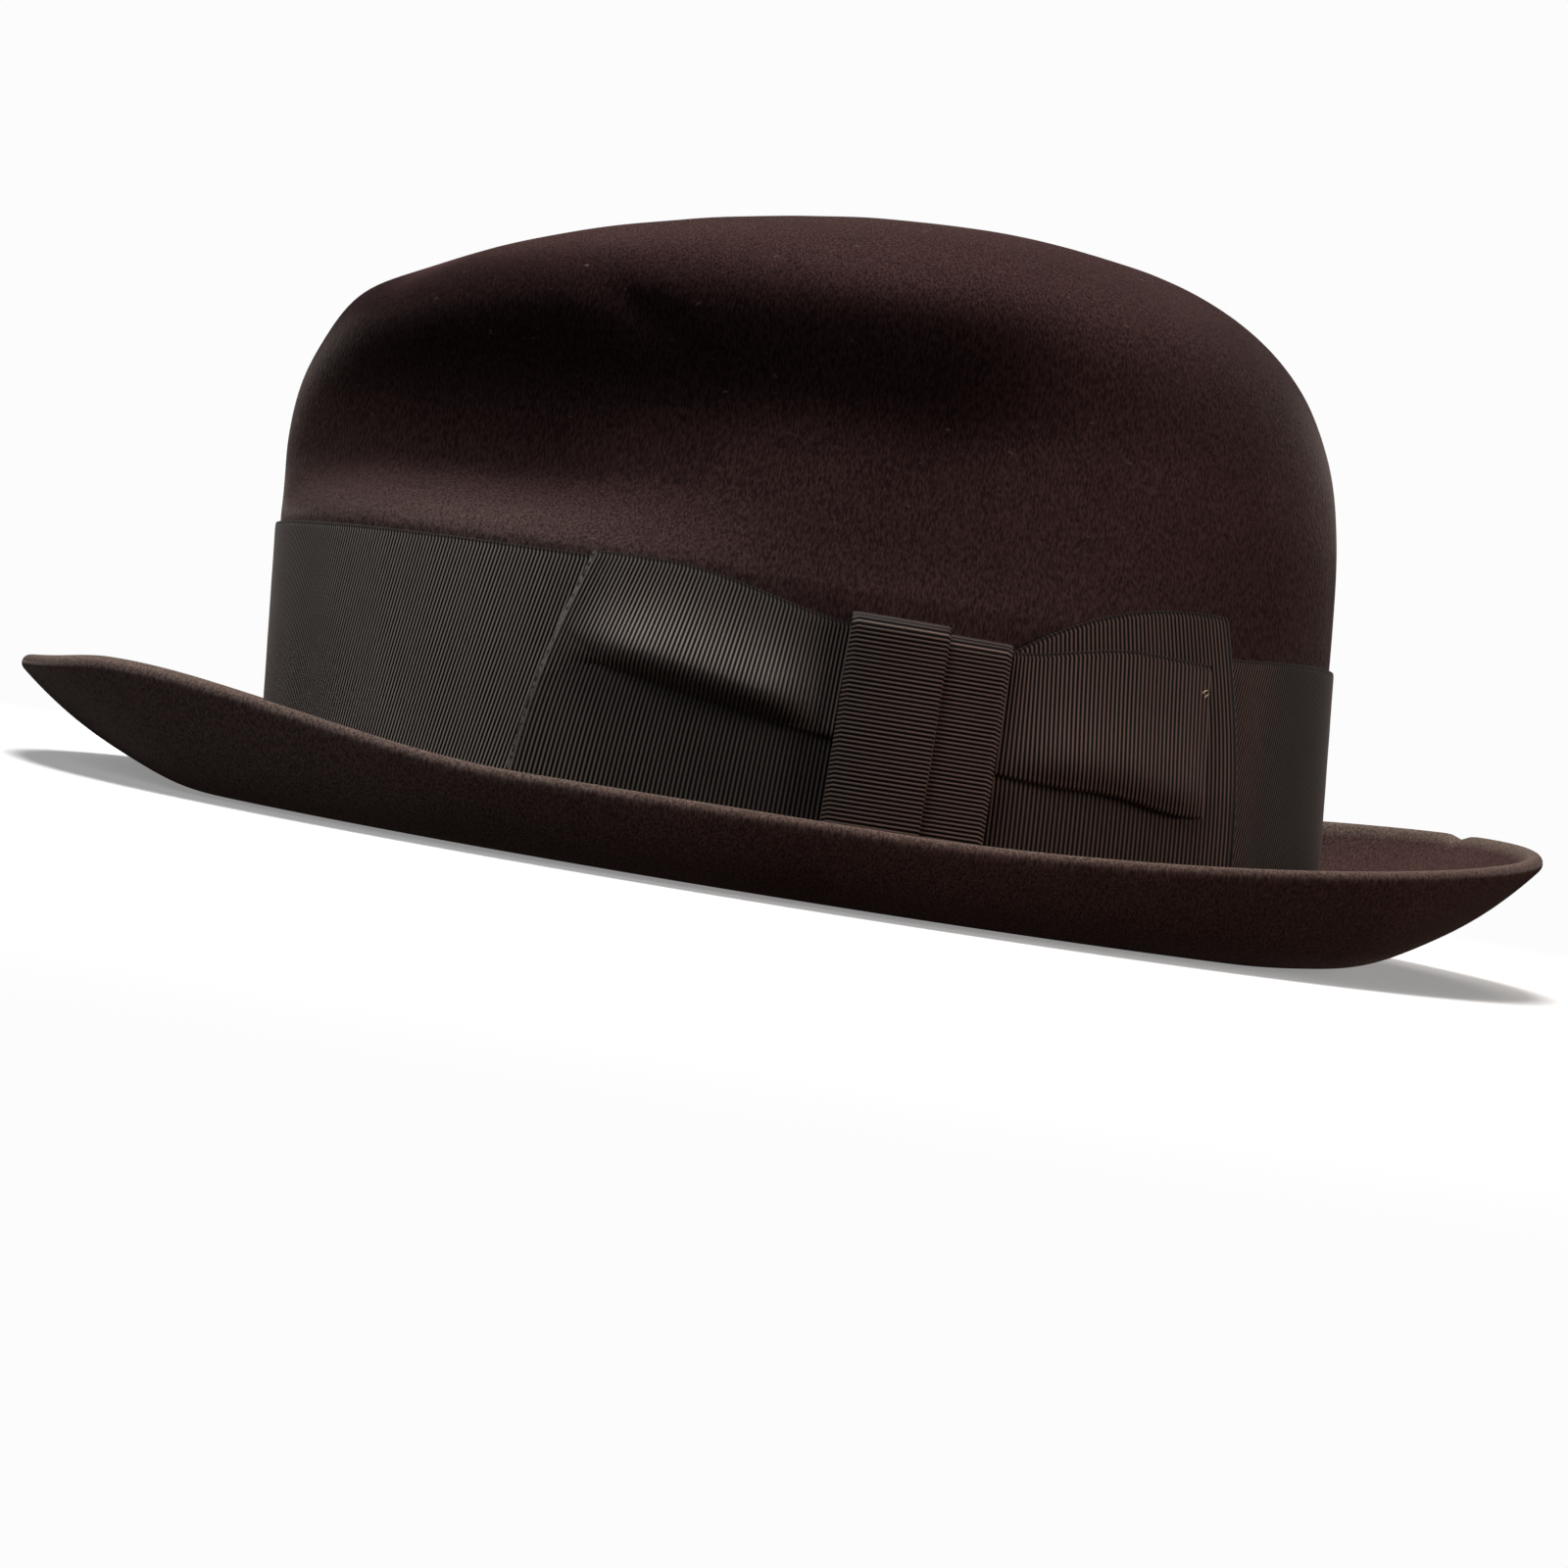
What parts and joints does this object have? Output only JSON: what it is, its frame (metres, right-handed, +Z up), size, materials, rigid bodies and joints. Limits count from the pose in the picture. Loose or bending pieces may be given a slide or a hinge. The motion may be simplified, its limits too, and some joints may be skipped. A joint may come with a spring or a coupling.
{
  "type": "fedora hat",
  "caption": "Brown felt fedora with a creased and pinched crown, an upturned brim, a ribbed ribbon band with a flat side bow, a leather sweatband and a satin lining.",
  "frame": {"origin": "middle of the brim's oval, on the plane that the sides of the brim rest on", "axes": "+Z up to the crown's tip, -Y towards the hat's front, +X towards the wearer's left, where the bow is"},
  "size_m": [0.2644, 0.2993, 0.1269],
  "materials": {
    "felt": "brushed dark brown fur felt",
    "ribbon": "ribbed dark brown grosgrain ribbon with a low sheen",
    "leather": "smooth tan sweatband leather",
    "reed": "covered reed cord",
    "satin": "satin lining with a sheen"
  },
  "bodies": {
    "root": {"felt_body": "felt", "hat_band": "ribbon", "bow_front_loop": "ribbon", "bow_tail": "ribbon", "bow_rear_loop": "ribbon", "bow_knot": "ribbon", "sweatband": "leather", "sweatband_reed": "reed", "sweatband_bow": "ribbon", "sweatband_bow_knot": "ribbon", "lining_side": "satin", "lining_tip": "satin", "lining_piping": "satin"}
  },
  "joints": []
}
